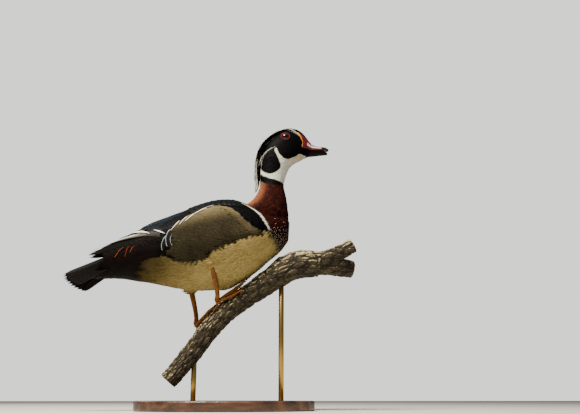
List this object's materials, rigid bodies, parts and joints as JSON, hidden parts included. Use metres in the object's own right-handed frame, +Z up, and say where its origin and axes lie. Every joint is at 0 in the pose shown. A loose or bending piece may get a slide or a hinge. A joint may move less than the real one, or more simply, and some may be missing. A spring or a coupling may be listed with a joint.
{
  "type": "wood duck",
  "caption": "Life-size wood duck drake on a sloping cut branch, wings folded and head raised, on a plain stand with an oval base and rods.",
  "frame": {"origin": "middle of the underside of the stand's base, on the floor", "axes": "+X the way the bill points, +Y the bird's left side, +Z up"},
  "size_m": [0.4491, 0.17, 0.4534],
  "materials": {
    "plumage_cream": "soft matt body feathers, cream",
    "plumage_chestnut": "soft matt body feathers, chestnut",
    "plumage_head": "silky black feathers with a green and purple sheen and white lines",
    "plumage_wing": "smooth black feathers with a blue and green sheen",
    "plumage_flank": "smooth olive-tan feathers, barred black and white at the rear",
    "plumage_tail": "dark satin tail feathers",
    "bill_upper": "smooth horn, red, white and black with a yellow edge",
    "bill_lower": "smooth dark horn",
    "eye": "glossy glass eye, red iris round a dark pupil",
    "eye_lid": "red fleshy eye ring",
    "leg": "scaled yellow-brown skin",
    "claw": "dark horn",
    "perch": "natural branch with grey-brown bark and sawn ends",
    "stand_base": "dark satin varnished wood",
    "stand_rod": "satin brass"
  },
  "bodies": {
    "root": {"bill_lower": "bill_lower", "bill_upper": "bill_upper", "claw_left_1": "claw", "claw_left_2": "claw", "claw_left_3": "claw", "claw_left_4": "claw", "claw_right_1": "claw", "claw_right_2": "claw", "claw_right_3": "claw", "claw_right_4": "claw", "crest": "plumage_head", "eye_left": "eye", "eye_lid_left": "eye_lid", "eye_lid_right": "eye_lid", "eye_right": "eye", "flank_left": "plumage_flank", "flank_right": "plumage_flank", "foot_left": "leg", "foot_right": "leg", "head": "plumage_head", "leg_left": "leg", "leg_right": "leg", "neck": "plumage_chestnut", "perch": "perch", "primaries_left": "plumage_wing", "primaries_right": "plumage_wing", "stand_base": "stand_base", "stand_rod_front": "stand_rod", "stand_rod_rear": "stand_rod", "tail": "plumage_tail", "thigh_left": "plumage_cream", "thigh_right": "plumage_cream", "torso": "plumage_cream", "wing_left": "plumage_wing", "wing_right": "plumage_wing"}
  },
  "joints": []
}
